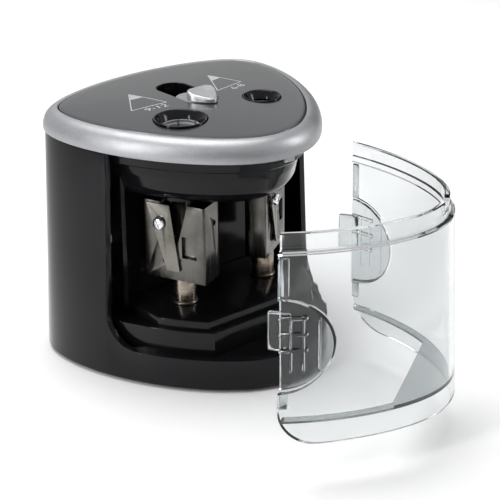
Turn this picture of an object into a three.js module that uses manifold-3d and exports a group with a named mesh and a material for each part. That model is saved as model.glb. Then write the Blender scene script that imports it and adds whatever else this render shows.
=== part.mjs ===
// A battery desk pencil sharpener: two powered cutters under a selector slide, behind a clear
// shavings cover. Millimetres, +Z up, the front towards -Y. It is modelled about the middle of
// its plan and moved at the end, so the origin is the middle of the footprint, cover included.

import * as THREE from 'three';
import { mergeVertices } from 'three/addons/utils/BufferGeometryUtils.js';
import Module from 'manifold-3d';

const wasm = await Module();
wasm.setup();

// ---------- driving dimensions ----------

// The plan is a rounded triangle with its blunt point forward. Its edge is the support curve
// mean + oval cos 2a + lobe cos 3a + square cos 4a + crisp cos 6a, a turning from the front to +X.
const planMean = 47;
const planOval = -0.75;
const planLobe = 5.15;
const planSquare = -0.43;
const planCrisp = -0.33;
const planSteps = 48;

const gap = 0.3;
const wall = 2.4;

const plateEdge = 100;
const plateUnder = plateEdge - 2;
const domeRise = 1.4;
const holeShare = 0.5;
const plateInset = 0.6;

const rimBottom = plateEdge - 8.3;
const rimReach = 6.3;
const rimSkin = 1.9;
const rimCurveSteps = 6;

const skinFoot = 8.9;
const skinTop = 5.6;
const shellBottom = 1;
const sill = 13.3;
const armEnd = -8;
const cornerRadius = 13.5;

const bandBottom = plateEdge - 13.8;
const bandOffset = 0.5;
const stepOffset = -2.5;
const stepBottom = bandBottom - 4;
const bowlBottom = plateEdge - 30;
const bowlRim = -3.8;
const frameSkin = 2;

const holeX = 19.8;
const holeY = -16.9;
const largeMouth = 9.6;
const smallMouth = 6.8;
const largeBore = 6.6;
const smallBore = 4.5;
const bezelLip = 0.6;
const bezelProud = 0.35;
const bezelDepth = 3;

const slotHalf = 6.7;
const slotFront = -11;
const slotBack = 20.5;
const shutterBottom = plateEdge - 6.4;
const shutterSkin = 1.2;
const selectorTravel = 12;
const slideGap = 0.6;
const knobHeight = 5;
const knobLift = 0.4;
const knobSlope = 0.28;

const deckTop = 26;
const ledgeTop = 22.5;
const ledgeOffset = 3.2;
const ledgeFront = -41.5;
const plateauOffset = 1;
const plateauFront = -38.5;
const plateauHalf = 37;
const trayTop = 12.8;
const trayBottom = 11.4;
const chamberBack = 3;
const chamberSkin = 1.8;
const deckSkin = 1.3;

const cutterModule = 1;
const motorModule = 0.8;
const cutterTeeth = 34;
const smallStageTeeth = 12;
const largeStageTeeth = 40;
const pinionTeeth = 10;
const backlash = 0.16;
const pressureAngle = THREE.MathUtils.degToRad(20);
const upperGearZ = 10.2;
const lowerGearZ = 4.5;
const gearWidth = 4.6;
const reductionBore = 1.85;
const pinRadius = 1.5;
const spindleRadius = 2.5;

const motorRadius = 12;
const motorLength = 31;
const motorBottom = 10;

const cellRadius = 7.1;
const cellLength = 49.3;
const cellPitch = 15;
const cellY = 23;
const cellBottom = 4.6;
const cellPairGap = 3.5;
const doorSkin = 1.6;

const basePlateBottom = 1.2;
const basePlateTop = 3.2;
const footRadius = 4.2;
const footHeight = 0.9;
const frontFootY = -42;

const blockBottom = 38;
const bladeSkin = 0.8;
const bladeScrewZ = blockBottom + 23;
const bushRadius = 4.4;

const coverWall = 1.9;
const coverRimTop = rimBottom - 0.6;
const coverRimOuter = 3.9;
const coverLedge = bandBottom - 1;
const coverFloorTop = 22.9;
const coverFloorSkin = 1.5;
const gripRadius = 17;
const gripZ = plateEdge / 2 + 0.5;
const tongueZ = gripZ + 4;
const tongueHeight = 14;
const tongueReach = 4.5;

const tabHalf = 2.2;
const tabDrop = 1.7;

// A length that reaches past the whole sharpener, for the shapes that only trim others.
const beyond = 4 * planMean;

// The cover is shown taken off: pulled this far from its seat and turned.
const coverTurn = THREE.MathUtils.degToRad(32);
const coverPull = new THREE.Vector2(0.3511, -1.4149).multiplyScalar(planMean);
const catchRadius = 1;

// ---------- materials ----------

function plastic(color, roughness) {
  return new THREE.MeshStandardMaterial({ color, roughness, metalness: 0 });
}

function metal(color, roughness) {
  return new THREE.MeshStandardMaterial({ color, roughness, metalness: 1 });
}

const glossBlack = plastic(0x0b0b0d, 0.15);
const satinBlack = plastic(0x17181a, 0.4);
const darkGrey = plastic(0x5c5e60, 0.35);
const guideGrey = plastic(0x8e9092, 0.5);
const silver = plastic(0xb9bbbf, 0.35);
const rubber = plastic(0x202020, 0.9);
const steel = metal(0x8d8f92, 0.3);
const brightSteel = metal(0xc9cbce, 0.2);
const bronzeSteel = metal(0x8a7a66, 0.3);
const brass = metal(0xc2a15a, 0.35);
const gearWhite = plastic(0xd9d6cc, 0.5);
const cellWrap = plastic(0x2f6b4f, 0.4);
const clear = new THREE.MeshStandardMaterial({
  color: 0xdfe6ea, roughness: 0.05, transparent: true, opacity: 0.35,
});

// ---------- solids ----------

// Turns a closed geometry into a boolean solid, dropping triangles that collapse on an axis.
function solid(geometry) {
  const bare = geometry.clone();
  bare.deleteAttribute('normal');
  bare.deleteAttribute('uv');
  const merged = mergeVertices(bare, 1e-4);
  const corners = merged.index.array;
  const kept = [];
  for (let i = 0; i < corners.length; i += 3) {
    const [a, b, c] = [corners[i], corners[i + 1], corners[i + 2]];
    if (a !== b && b !== c && c !== a) kept.push(a, b, c);
  }
  return new wasm.Manifold(new wasm.Mesh({
    numProp: 3,
    vertProperties: new Float32Array(merged.attributes.position.array),
    triVerts: new Uint32Array(kept),
  }));
}

function surface(body) {
  const { vertProperties, triVerts } = body.getMesh();
  const geometry = new THREE.BufferGeometry();
  geometry.setAttribute('position', new THREE.BufferAttribute(new Float32Array(vertProperties), 3));
  geometry.setIndex([...triVerts]);
  geometry.computeVertexNormals();
  return geometry;
}

function join(...geometries) {
  return surface(geometries.map(solid).reduce((whole, next) => whole.add(next)));
}

function cut(geometry, ...tools) {
  return surface(tools.map(solid).reduce((whole, tool) => whole.subtract(tool), solid(geometry)));
}

function overlap(geometry, ...others) {
  return surface(others.map(solid).reduce((whole, other) => whole.intersect(other), solid(geometry)));
}

function block(x0, x1, y0, y1, z0, z1) {
  const geometry = new THREE.BoxGeometry(x1 - x0, y1 - y0, z1 - z0);
  return geometry.translate((x0 + x1) / 2, (y0 + y1) / 2, (z0 + z1) / 2);
}

function rod(radius, z0, z1, x = 0, y = 0, steps = 32) {
  const geometry = new THREE.CylinderGeometry(radius, radius, z1 - z0, steps);
  return geometry.rotateX(Math.PI / 2).translate(x, y, (z0 + z1) / 2);
}

// A body turned about the vertical through x, y. Each profile point is [radius, height].
function turned(profile, x = 0, y = 0, steps = 32) {
  const points = profile.map(([radius, height]) => new THREE.Vector2(radius, height));
  return new THREE.LatheGeometry(points, steps).rotateX(Math.PI / 2).rotateZ(Math.PI).translate(x, y, 0);
}

function prism(shape, z0, z1, curveSegments = 8) {
  const options = { depth: z1 - z0, bevelEnabled: false, curveSegments };
  return new THREE.ExtrudeGeometry(shape, options).translate(0, 0, z0);
}

// A closed outline through corner points, each rounded to its own radius.
function roundedShape(corners) {
  const shape = new THREE.Shape();
  corners.forEach(([x, y, radius], i) => {
    const corner = new THREE.Vector2(x, y);
    const before = new THREE.Vector2(...corners.at(i - 1));
    const after = new THREE.Vector2(...corners[(i + 1) % corners.length]);
    const entry = before.sub(corner).setLength(radius).add(corner);
    const exit = after.sub(corner).setLength(radius).add(corner);
    if (i) shape.lineTo(entry.x, entry.y);
    else shape.moveTo(entry.x, entry.y);
    shape.quadraticCurveTo(x, y, exit.x, exit.y);
  });
  shape.closePath();
  return shape;
}

function stadium(half, y0, y1) {
  const shape = new THREE.Shape();
  shape.absarc(0, y0 + half, half, Math.PI, 2 * Math.PI, false);
  shape.absarc(0, y1 - half, half, 0, Math.PI, false);
  shape.closePath();
  return shape;
}

// ---------- the plan outline ----------

const planTerms = [[2, planOval], [3, planLobe], [4, planSquare], [6, planCrisp]];

function planReach(angle) {
  return planTerms.reduce((sum, [n, size]) => sum + size * Math.cos(n * angle), planMean);
}

function planPoint(angle, offset) {
  const reach = planReach(angle) + offset;
  const slope = planTerms.reduce((sum, [n, size]) => sum - n * size * Math.sin(n * angle), 0);
  const x = reach * Math.sin(angle) + slope * Math.cos(angle);
  const y = -reach * Math.cos(angle) + slope * Math.sin(angle);
  return new THREE.Vector2(x, y);
}

// The half width of the outline where it passes y on its way round the side.
function planHalfWidth(y, offset) {
  let low = 0;
  let high = Math.PI / 2;
  for (let i = 0; i < 40; i += 1) {
    const middle = (low + high) / 2;
    if (planPoint(middle, offset).y < y) low = middle;
    else high = middle;
  }
  return planPoint(low, offset).x;
}

// Carries a profile of [offset, height] points round the plan outline. A third value scales that
// ring towards the middle, for rings too far in to be an offset. A closed profile makes a
// ring; an open one runs from underneath, over the outside, to the top and is capped at both ends,
// with the middle of the top cap at the height of the peak.
function swept(profile, closed, peak = profile[profile.length - 1][1]) {
  const positions = [];
  const faces = [];
  const at = (i, j) => i * planSteps + (j % planSteps);
  for (const [offset, height, share = 1] of profile) {
    for (let j = 0; j < planSteps; j += 1) {
      const point = planPoint((2 * Math.PI * j) / planSteps, offset).multiplyScalar(share);
      positions.push(point.x, point.y, height);
    }
  }
  const rows = closed ? profile.length : profile.length - 1;
  for (let i = 0; i < rows; i += 1) {
    const next = (i + 1) % profile.length;
    for (let j = 0; j < planSteps; j += 1) {
      faces.push(at(i, j), at(i, j + 1), at(next, j + 1), at(i, j), at(next, j + 1), at(next, j));
    }
  }
  if (!closed) {
    const last = profile.length - 1;
    const under = positions.length / 3;
    positions.push(0, 0, profile[0][1], 0, 0, peak);
    for (let j = 0; j < planSteps; j += 1) {
      faces.push(under, at(0, j + 1), at(0, j), under + 1, at(last, j), at(last, j + 1));
    }
  }
  const geometry = new THREE.BufferGeometry();
  geometry.setAttribute('position', new THREE.Float32BufferAttribute(positions, 3));
  geometry.setIndex(faces);
  return geometry;
}

const slab = (offset, z0, z1) => swept([[offset, z0], [offset, z1]], false);

function skinOffset(z) {
  return skinFoot + ((skinTop - skinFoot) * z) / rimBottom;
}

// The dome of the plate at a share of the way from the middle to the edge.
function plateHeight(share) {
  return plateEdge + domeRise * (1 - share ** 2);
}

// The rows of the bowl over the cutters, each with its share of the way out.
function bowlRows(outset) {
  return [[0.6, 0], [0.78, 0.2], [0.87, 1.3], [0.94, 3.5], [1, 7]].map(([share, rise]) => (
    [bowlRim + outset, bowlBottom + rise - outset, share]
  ));
}

// The space the cover fills: ahead of the arm ends, above the sill, with a rounded lower corner.
function frontOpening(shrink) {
  const end = armEnd - shrink;
  const floor = sill + shrink;
  const side = new THREE.Shape();
  side.moveTo(-beyond, floor);
  side.lineTo(end - cornerRadius, floor);
  side.absarc(end - cornerRadius, floor + cornerRadius, cornerRadius, -Math.PI / 2, 0, false);
  side.lineTo(end, beyond);
  side.lineTo(-beyond, beyond);
  side.closePath();
  return prism(side, -beyond, beyond).rotateX(Math.PI / 2).rotateZ(Math.PI / 2);
}

const parts = new THREE.Group();

function add(name, geometry, material, parent = parts) {
  const mesh = new THREE.Mesh(geometry, material);
  mesh.name = name;
  parent.add(mesh);
  return mesh;
}

// ---------- shell, rim and top ----------

function bodyShell() {
  const inner = (z) => skinOffset(z) - wall;
  const top = rimBottom - gap;
  const tube = swept([
    [inner(shellBottom), shellBottom],
    [skinOffset(shellBottom), shellBottom],
    [skinOffset(top), top],
    [inner(top), top],
  ], true);
  return cut(tube, frontOpening(0));
}

function topRim() {
  const springing = rimBottom + 1.2;
  const lip = 0.6;
  const profile = [[rimReach - rimSkin, rimBottom], [rimReach - 0.3, rimBottom]];
  for (let i = 0; i <= rimCurveSteps; i += 1) {
    const angle = (Math.PI / 2) * (i / rimCurveSteps);
    const offset = lip + (rimReach - lip) * Math.cos(angle);
    profile.push([offset, springing + (plateEdge - springing) * Math.sin(angle)]);
  }
  profile.push([gap, plateEdge - gap], [gap, plateUnder + gap], [rimReach - 3.4, plateUnder - 0.8]);
  profile.push([rimReach - rimSkin, springing + 2.6]);
  const apex = planPoint(0, 0).y;
  const tabFront = apex - rimReach + 0.4;
  const tab = block(-tabHalf, tabHalf, tabFront, tabFront + 1.3, rimBottom - tabDrop, rimBottom + 0.4);
  return join(swept(profile, true), tab);
}

function topPlate() {
  const profile = [[-0.05, plateUnder], [-0.05, plateEdge - 0.4]];
  for (const share of [1, 0.86, 0.64, 0.36]) profile.push([-plateInset, plateHeight(share), share]);
  return cut(
    swept(profile, false, plateHeight(0)),
    rod(largeMouth + bezelLip + gap, rimBottom, plateEdge + 20, -holeX, holeY, 40),
    rod(smallMouth + bezelLip + gap, rimBottom, plateEdge + 20, holeX, holeY, 40),
    prism(stadium(slotHalf, slotFront, slotBack), rimBottom, plateEdge + 20),
  );
}

// A glossy ring that lines a pencil hole, proud of the plate by a rounded lip.
function bezel(x, mouth) {
  const top = plateHeight(holeShare) + bezelProud;
  const outer = mouth + bezelLip;
  const throat = mouth - 2.2;
  const bottom = top - bezelDepth;
  return turned([
    [throat, bottom], [outer, bottom], [outer, top - 0.4], [outer - 0.35, top], [mouth, top - 0.1],
    [mouth - 0.7, top - 0.9], [throat + 0.7, top - 1.9], [throat, bottom],
  ], x, holeY, 32);
}

// The slotted grey guide that centres a thick pencil, under the large bezel.
function pencilGuide() {
  const top = plateHeight(holeShare) + bezelProud - bezelDepth - gap;
  const funnel = turned([
    [largeBore, top - 2.6], [largeBore + 1.4, top - 2.6], [largeMouth - 1.4, top - 1.4],
    [largeMouth - 1.4, top], [largeMouth - 2.8, top], [largeBore, top - 1.2], [largeBore, top - 2.6],
  ], -holeX, holeY, 32);
  const slits = [0, 1, 2, 3, 4, 5].map((i) => {
    const slit = block(0, largeBore + 0.9, -0.4, 0.4, top - 3, top + 1);
    return slit.rotateZ((i * Math.PI) / 3).translate(-holeX, holeY, 0);
  });
  return cut(funnel, ...slits);
}

function topFrame() {
  const profile = [
    ...bowlRows(0), [stepOffset, stepBottom], [stepOffset, bandBottom], [bandOffset, bandBottom],
    [bandOffset, rimBottom], [rimReach - rimSkin - gap, rimBottom],
    [rimReach - rimSkin - gap, rimBottom + 2], [bandOffset, rimBottom + 2],
    [bandOffset, plateUnder - 1], [-plateInset, plateUnder - gap],
  ];
  const hollow = [
    ...bowlRows(-frameSkin),
    [stepOffset - frameSkin, stepBottom + 1], [stepOffset - frameSkin, plateUnder + 1],
  ];
  const bowl = cut(swept(profile, false), swept(hollow, false));
  const guideTop = shutterBottom - gap;
  const guides = [[-holeX, largeBore], [holeX, smallBore]].map(([x, bore]) =>
    rod(bore + 2.2, bowlBottom + 1, guideTop, x, holeY));
  const bores = [[-holeX, largeBore], [holeX, smallBore]].map(([x, bore]) =>
    rod(bore, bowlBottom - 5, guideTop + 5, x, holeY));
  return cut(join(bowl, ...guides), ...bores);
}

// ---------- selector ----------

// The slide under the plate. Forward, it shuts the small hole; back, it shuts the large one.
function shutter() {
  const top = shutterBottom + shutterSkin;
  const webHalf = slotHalf - slideGap;
  const wingFront = holeY - largeMouth - selectorTravel;
  const web = block(-webHalf, webHalf, wingFront, 9, shutterBottom, top);
  const leftWing = block(-holeX - 9, 0, wingFront, holeY - largeBore - 5.5, shutterBottom, top);
  const rightWing = block(0, holeX + 9.5, holeY - 9.2, holeY + 9.2, shutterBottom, top);
  const padTop = plateHeight(holeShare) - bezelDepth - 0.5;
  const pad = rod(smallMouth - 1.2, shutterBottom, padTop, holeX, holeY);
  const treadBack = slotBack - selectorTravel - slideGap;
  const tread = prism(stadium(webHalf, slotFront + slideGap, treadBack), shutterBottom, plateEdge + 0.2);
  const stem = block(-2.8, 2.8, -7.6, -3.6, shutterBottom, plateHeight(0) + 0.6);
  const trim = slab(stepOffset - frameSkin - 1, rimBottom, plateEdge + 20);
  return overlap(join(web, leftWing, rightWing, pad, tread, stem), trim);
}

// A rounded triangle pointing forward, its dished top sloping down to the point.
function knob() {
  const base = plateHeight(0) + knobLift;
  const outline = roundedShape([[-8.6, -1.6, 7], [0, -15.6, 6.5], [8.6, -1.6, 7]]);
  const body = prism(outline, base, base + knobHeight + 1, 6);
  const above = block(-20, 20, -30, 20, 0, 20).rotateX(knobSlope);
  above.translate(0, 0, base + knobHeight + 0.6);
  const dish = rod(30, -20, 20).rotateX(Math.PI / 2).rotateX(knobSlope);
  dish.translate(0, -8, base + knobHeight + 27.9);
  const pocket = block(-3.1, 3.1, -7.9, -3.3, base - 1, plateHeight(0) + 0.9);
  return cut(body, above, dish, pocket);
}

// ---------- gearbox cover and chamber ----------

function ledgeShape(grow, front) {
  return overlap(
    slab(ledgeOffset + grow, 0, beyond),
    block(-beyond, beyond, front - grow, chamberBack, 0, beyond),
  );
}

function gearboxCover() {
  const between = (z0, z1) => block(-beyond, beyond, -beyond, chamberBack, z0, z1);
  const trayEdge = skinOffset(trayTop) - wall - gap - 0.2;
  const tray = overlap(slab(trayEdge, trayBottom, trayTop), between(0, beyond));
  const ledge = overlap(ledgeShape(0, ledgeFront), between(trayBottom, ledgeTop));
  const plateau = overlap(
    slab(plateauOffset, trayBottom, deckTop),
    block(-plateauHalf, plateauHalf, plateauFront, chamberBack, trayBottom, deckTop),
  );
  const underLedge = block(-beyond, beyond, -beyond, beyond, 0, ledgeTop - deckSkin);
  const ledgeHollow = overlap(ledgeShape(-deckSkin, ledgeFront), underLedge);
  const plateauHollow = overlap(
    slab(plateauOffset - deckSkin, 0, deckTop - deckSkin),
    block(
      -plateauHalf + deckSkin, plateauHalf - deckSkin,
      plateauFront + deckSkin, chamberBack + 9, 0, deckTop - deckSkin,
    ),
  );
  const bores = [-holeX, holeX].map((x) => rod(spindleRadius + 0.8, 0, beyond, x, holeY));
  const motorRoom = rod(motorRadius + 1, 0, beyond, 0, motorY(), 40);
  return cut(join(tray, ledge, plateau), ledgeHollow, plateauHollow, ...bores, motorRoom);
}

// The wall behind the cutters, with a wing each side that stops short of the latch pockets.
function chamberWall() {
  const half = planHalfWidth(armEnd + 2, -2.5);
  const back = chamberBack - 0.4;
  const outline = new THREE.Shape([
    new THREE.Vector2(-half, armEnd + 2), new THREE.Vector2(-half + chamberSkin, armEnd + 2),
    new THREE.Vector2(-half + chamberSkin + 2, back - chamberSkin),
    new THREE.Vector2(half - chamberSkin - 2, back - chamberSkin),
    new THREE.Vector2(half - chamberSkin, armEnd + 2), new THREE.Vector2(half, armEnd + 2),
    new THREE.Vector2(half - 1, back), new THREE.Vector2(-half + 1, back),
  ]);
  const bowlClearance = swept([
    ...bowlRows(gap), [stepOffset + gap, stepBottom - gap], [stepOffset + gap, 2 * plateEdge],
  ], false);
  return cut(prism(outline, deckTop + gap, bandBottom - 1), bowlClearance);
}

// ---------- gears ----------

function gearDistance(module, teethA, teethB) {
  return (module * (teethA + teethB)) / 2;
}

function stageY() {
  const reach = gearDistance(cutterModule, cutterTeeth, smallStageTeeth);
  return holeY + Math.sqrt(reach ** 2 - holeX ** 2);
}

function motorY() {
  return stageY() + gearDistance(motorModule, largeStageTeeth, pinionTeeth);
}

// A spur gear with involute flanks, one tooth centred on the phase angle.
function gear(module, teeth, phase, z0, z1, bore) {
  const pitch = (module * teeth) / 2;
  const base = pitch * Math.cos(pressureAngle);
  const tip = pitch + module * 0.95;
  const root = pitch - module * 1.2;
  const involute = (radius) => {
    const pressure = Math.acos(Math.min(1, base / radius));
    return Math.tan(pressure) - pressure;
  };
  const halfAtPitch = Math.PI / (2 * teeth) - backlash / 2 / pitch;
  const halfAt = (radius) => halfAtPitch + involute(pitch) - involute(radius);
  const low = Math.max(base, root);
  const flank = [low, tip];
  const outline = [];
  for (let i = 0; i < teeth; i += 1) {
    const centre = phase + (2 * Math.PI * i) / teeth;
    const put = (radius, angle) => {
      const turn = centre + angle;
      outline.push(new THREE.Vector2(radius * Math.cos(turn), radius * Math.sin(turn)));
    };
    put(root, -halfAt(low) - 0.15 / teeth);
    flank.forEach((radius) => put(radius, -halfAt(radius)));
    [...flank].reverse().forEach((radius) => put(radius, halfAt(radius)));
    put(root, halfAt(low) + 0.15 / teeth);
  }
  const shape = new THREE.Shape(outline);
  const hole = new THREE.Path();
  hole.absarc(0, 0, bore, 0, 2 * Math.PI, true);
  shape.holes.push(hole);
  return prism(shape, z0, z1, 12);
}

// The phase that puts a gap of the driven gear opposite the driver's tooth, seen from the driver.
function meshedPhase(driverPhase, driverTeeth, drivenTeeth, direction) {
  const lead = driverPhase - direction;
  return direction + Math.PI - (lead * driverTeeth) / drivenTeeth + Math.PI / drivenTeeth;
}

function cutterGear(side) {
  const direction = Math.atan2(holeY - stageY(), side * holeX);
  const phase = meshedPhase(0, smallStageTeeth, cutterTeeth, direction);
  const top = upperGearZ + gearWidth;
  return gear(cutterModule, cutterTeeth, phase, upperGearZ, top, spindleRadius + gap)
    .translate(side * holeX, holeY, 0);
}

function reductionGear() {
  const top = upperGearZ + gearWidth + 0.5;
  const lower = gear(motorModule, largeStageTeeth, 0, lowerGearZ, lowerGearZ + 4, reductionBore);
  const upper = gear(cutterModule, smallStageTeeth, 0, lowerGearZ + 3.5, top, reductionBore);
  return join(lower, upper).translate(0, stageY(), 0);
}

function reductionPin() {
  return rod(pinRadius, basePlateTop + gap, upperGearZ + gearWidth + 1.5, 0, stageY(), 24);
}

function motorPinion() {
  const phase = meshedPhase(0, largeStageTeeth, pinionTeeth, Math.PI / 2);
  const teeth = gear(motorModule, pinionTeeth, phase, lowerGearZ + 0.2, lowerGearZ + 4, 0.7);
  const shaft = rod(1, lowerGearZ + 0.2, motorBottom + 3);
  return join(teeth, shaft).translate(0, motorY(), 0);
}

function motor() {
  const can = rod(motorRadius, motorBottom, motorBottom + motorLength, 0, 0, 40);
  const boss = rod(3, motorBottom - 0.9, motorBottom + 1);
  const rear = rod(4.2, motorBottom + motorLength - 1, motorBottom + motorLength + 2);
  const flats = [-1, 1].map((side) => (
    block(-20, 20, -4.5, 4.5, 0, beyond).translate(0, side * (motorRadius + 2.9), 0)
  ));
  const shaftRoom = rod(1.4, 0, motorBottom + 4, 0, 0, 24);
  return cut(join(can, boss, rear), ...flats, shaftRoom).translate(0, motorY(), 0);
}

// ---------- cutters ----------

const cutters = [
  { name: 'large', side: -1, bore: largeBore, width: 26.4, depth: 15, facing: -66.6 },
  { name: 'small', side: 1, bore: smallBore, width: 24, depth: 11, facing: 31 },
];

// The folded steel housing. Its front face looks along -Y until the cutter is turned in place.
function cutterBlock({ bore, width, depth }) {
  const top = bowlBottom - 0.6;
  const half = width / 2;
  const front = -depth / 2;
  const outline = roundedShape([
    [-half, front, 0.8], [half, front, 0.8], [half, -front - 1.5, 3], [-half, -front - 1.5, 3],
  ]);
  const body = prism(outline, blockBottom, top, 4);
  const coneBottom = blockBottom + 7;
  const cone = turned([
    [0, coneBottom], [0.9, coneBottom], [bore, top + 0.1], [bore, top + 1], [0, top + 1],
  ]);
  const mouth = new THREE.Shape([
    new THREE.Vector2(-1, top - 19), new THREE.Vector2(1, top - 19),
    new THREE.Vector2(bore * 0.95, top + 1), new THREE.Vector2(-bore * 0.95, top + 1),
  ]);
  const opening = prism(mouth, 0, 12).rotateX(Math.PI / 2).translate(0, 0.5, 0);
  const notchLeft = half * 0.25;
  const notchRight = half * 0.73;
  const notchLow = blockBottom + 9.6;
  const notch = block(notchLeft, notchRight, front - 1, front + 2.4, notchLow, notchLow + 8.9);
  const seat = rod(spindleRadius + gap, 0, blockBottom + 3.6);
  const screwHole = rod(1.4, -6, 1).rotateX(Math.PI / 2);
  screwHole.translate(bladeScrewX(half), front, bladeScrewZ);
  return cut(body, cone, opening, notch, seat, screwHole);
}

function bladeScrewX(half) {
  return -half * 0.42;
}

// A tapered strip that leans along the left side of the opening.
function blade({ width, depth }) {
  const half = width / 2;
  const front = -depth / 2 - gap;
  const low = blockBottom + 4;
  const high = bowlBottom - 1.2;
  const strip = new THREE.Shape([
    new THREE.Vector2(-half * 0.22, low), new THREE.Vector2(half * 0.2, low),
    new THREE.Vector2(-half * 0.09, high), new THREE.Vector2(-half * 0.84, high),
  ]);
  const plate = prism(strip, 0, bladeSkin).rotateX(Math.PI / 2).translate(0, front, 0);
  const hole = rod(1.5, -3, 3).rotateX(Math.PI / 2);
  hole.translate(bladeScrewX(half), front, bladeScrewZ);
  return cut(plate, hole);
}

function bladeScrew({ width, depth }) {
  const front = -depth / 2 - gap - bladeSkin - gap;
  const stem = 3.2;
  const head = turned([
    [0, 0], [1.1, 0], [1.1, stem], [2.5, stem], [2.5, stem + 0.8], [1.7, stem + 1.5], [0, stem + 1.5],
  ], 0, 0, 16);
  const cross = [0, 1].map((i) => (
    block(-1.5, 1.5, -0.3, 0.3, stem + 1, stem + 3).rotateZ((i * Math.PI) / 2 + 0.4)
  ));
  return cut(head, ...cross).translate(0, 0, -stem).rotateX(Math.PI / 2)
    .translate(bladeScrewX(width / 2), front, bladeScrewZ);
}

function bush() {
  const inner = spindleRadius + gap;
  return turned([
    [inner, deckTop + gap], [5, deckTop + gap], [5, deckTop + 1.1], [bushRadius, deckTop + 1.3],
    [bushRadius, blockBottom - gap], [inner, blockBottom - gap], [inner, deckTop + gap],
  ], 0, 0, 24);
}

function addCutter(cutter) {
  const spot = new THREE.Group();
  spot.position.set(cutter.side * holeX, holeY, 0);
  spot.rotation.z = THREE.MathUtils.degToRad(cutter.facing);
  parts.add(spot);
  add(`${cutter.name}_cutter_housing`, cutterBlock(cutter), steel, spot);
  add(`${cutter.name}_cutter_blade`, blade(cutter), brightSteel, spot);
  add(`${cutter.name}_blade_screw`, bladeScrew(cutter), brightSteel, spot);
  add(`${cutter.name}_spindle_bush`, bush(), bronzeSteel, spot);
  add(`${cutter.name}_spindle`, rod(spindleRadius, lowerGearZ, blockBottom + 3), steel, spot);
  add(`${cutter.name}_cutter_gear`, cutterGear(cutter.side), gearWhite);
}

// ---------- base, door, cells ----------

const baseScrews = [[-41, -10], [41, -10], [-14, 39.5], [14, 39.5]];
const feet = [['front_foot', 0, frontFootY], ['left_rear_foot', -30, 37], ['right_rear_foot', 30, 37]];

const doorHalf = 2 * cellPitch - cellPitch / 2 + cellRadius + 11.5;
const doorFront = cellY - cellRadius - 1.4;
const doorBack = cellY + cellRadius + 1.4;

function basePlate() {
  const plate = slab(skinOffset(basePlateTop) - wall - gap, basePlateBottom, basePlateTop);
  const doorway = block(-doorHalf - 0.4, doorHalf + 0.4, doorFront - 0.4, doorBack + 0.4, 0, 9);
  const screwRooms = baseScrews.flatMap(([x, y]) => [
    rod(3, 0, basePlateBottom + 1.3, x, y, 20),
    rod(1.6, 0, 9, x, y, 16),
  ]);
  return cut(plate, doorway, ...screwRooms);
}

function batteryDoor() {
  const bottom = basePlateBottom + 0.2;
  const lid = block(-doorHalf, doorHalf, doorFront, doorBack, bottom, bottom + doorSkin);
  const grips = [-1, 0, 1].map((i) => (
    block(-9, 9, 5, 6, 0, bottom + 0.5).translate(0, doorFront + 2.4 * i, 0)
  ));
  return cut(lid, ...grips);
}

function baseScrew([x, y]) {
  const head = basePlateBottom + 0.2;
  const shank = head + 0.9;
  const tip = head + 7;
  return turned([[0, head], [2.6, head], [2.6, shank], [1.2, shank], [1.2, tip], [0, tip]], x, y, 14);
}

function cell(x) {
  const top = cellBottom + cellLength;
  return turned([
    [0, cellBottom], [cellRadius, cellBottom], [cellRadius, top],
    [2.7, top], [2.7, top + 1.1], [0, top + 1.1],
  ], x, cellY, 20);
}

// A spring strip that bridges the ends of one pair of cells.
function contactStrip(side, z) {
  const centre = side * (cellPitch + cellRadius + cellPairGap);
  return block(centre - cellPitch, centre + cellPitch, cellY - 4, cellY + 4, z, z + 0.5);
}

// ---------- interlock ----------

const plungerX = () => -planHalfWidth(armEnd, 2.2);

function interlockSwitch() {
  const x = plungerX();
  return cut(
    block(x - 4, x + 4.5, chamberBack + 0.5, chamberBack + 13, tongueZ - 5, tongueZ + 5),
    block(x - 1.7, x + 1.7, chamberBack - 5, chamberBack + 7, tongueZ - 1.7, tongueZ + 1.7),
  );
}

function interlockPlunger() {
  const front = armEnd + tongueReach + 0.5;
  return block(plungerX() - 1.4, plungerX() + 1.4, front, chamberBack + 4.5, tongueZ - 1.4, tongueZ + 1.4);
}

// ---------- cover ----------

function shavingsCover() {
  const low = sill + gap;
  const wallRing = swept([
    [skinOffset(low) - coverWall, low], [skinOffset(low), low],
    [skinOffset(coverLedge), coverLedge], [coverRimOuter, coverLedge],
    [coverRimOuter, coverRimTop], [coverRimOuter - coverWall, coverRimTop],
    [coverRimOuter - coverWall, coverLedge - coverWall],
    [skinOffset(coverLedge) - coverWall, coverLedge - coverWall],
  ], true);
  const floorEdge = skinOffset(coverFloorTop) - 1;
  const floorSlab = slab(floorEdge, coverFloorTop - coverFloorSkin, coverFloorTop);
  const floor = cut(floorSlab, ledgeShape(0.8, ledgeFront));
  const gripRoom = rod(gripRadius + 0.4, -beyond, beyond, 0, 0, 40).rotateY(Math.PI / 2);
  gripRoom.translate(0, armEnd - gap, gripZ);
  const notchHalf = tabHalf + 1.6;
  const notchBottom = rimBottom - tabDrop - gap;
  const tabNotch = block(-notchHalf, notchHalf, -beyond, 0, notchBottom, beyond);
  return cut(overlap(join(wallRing, floor), frontOpening(gap)), gripRoom, tabNotch);
}

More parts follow.
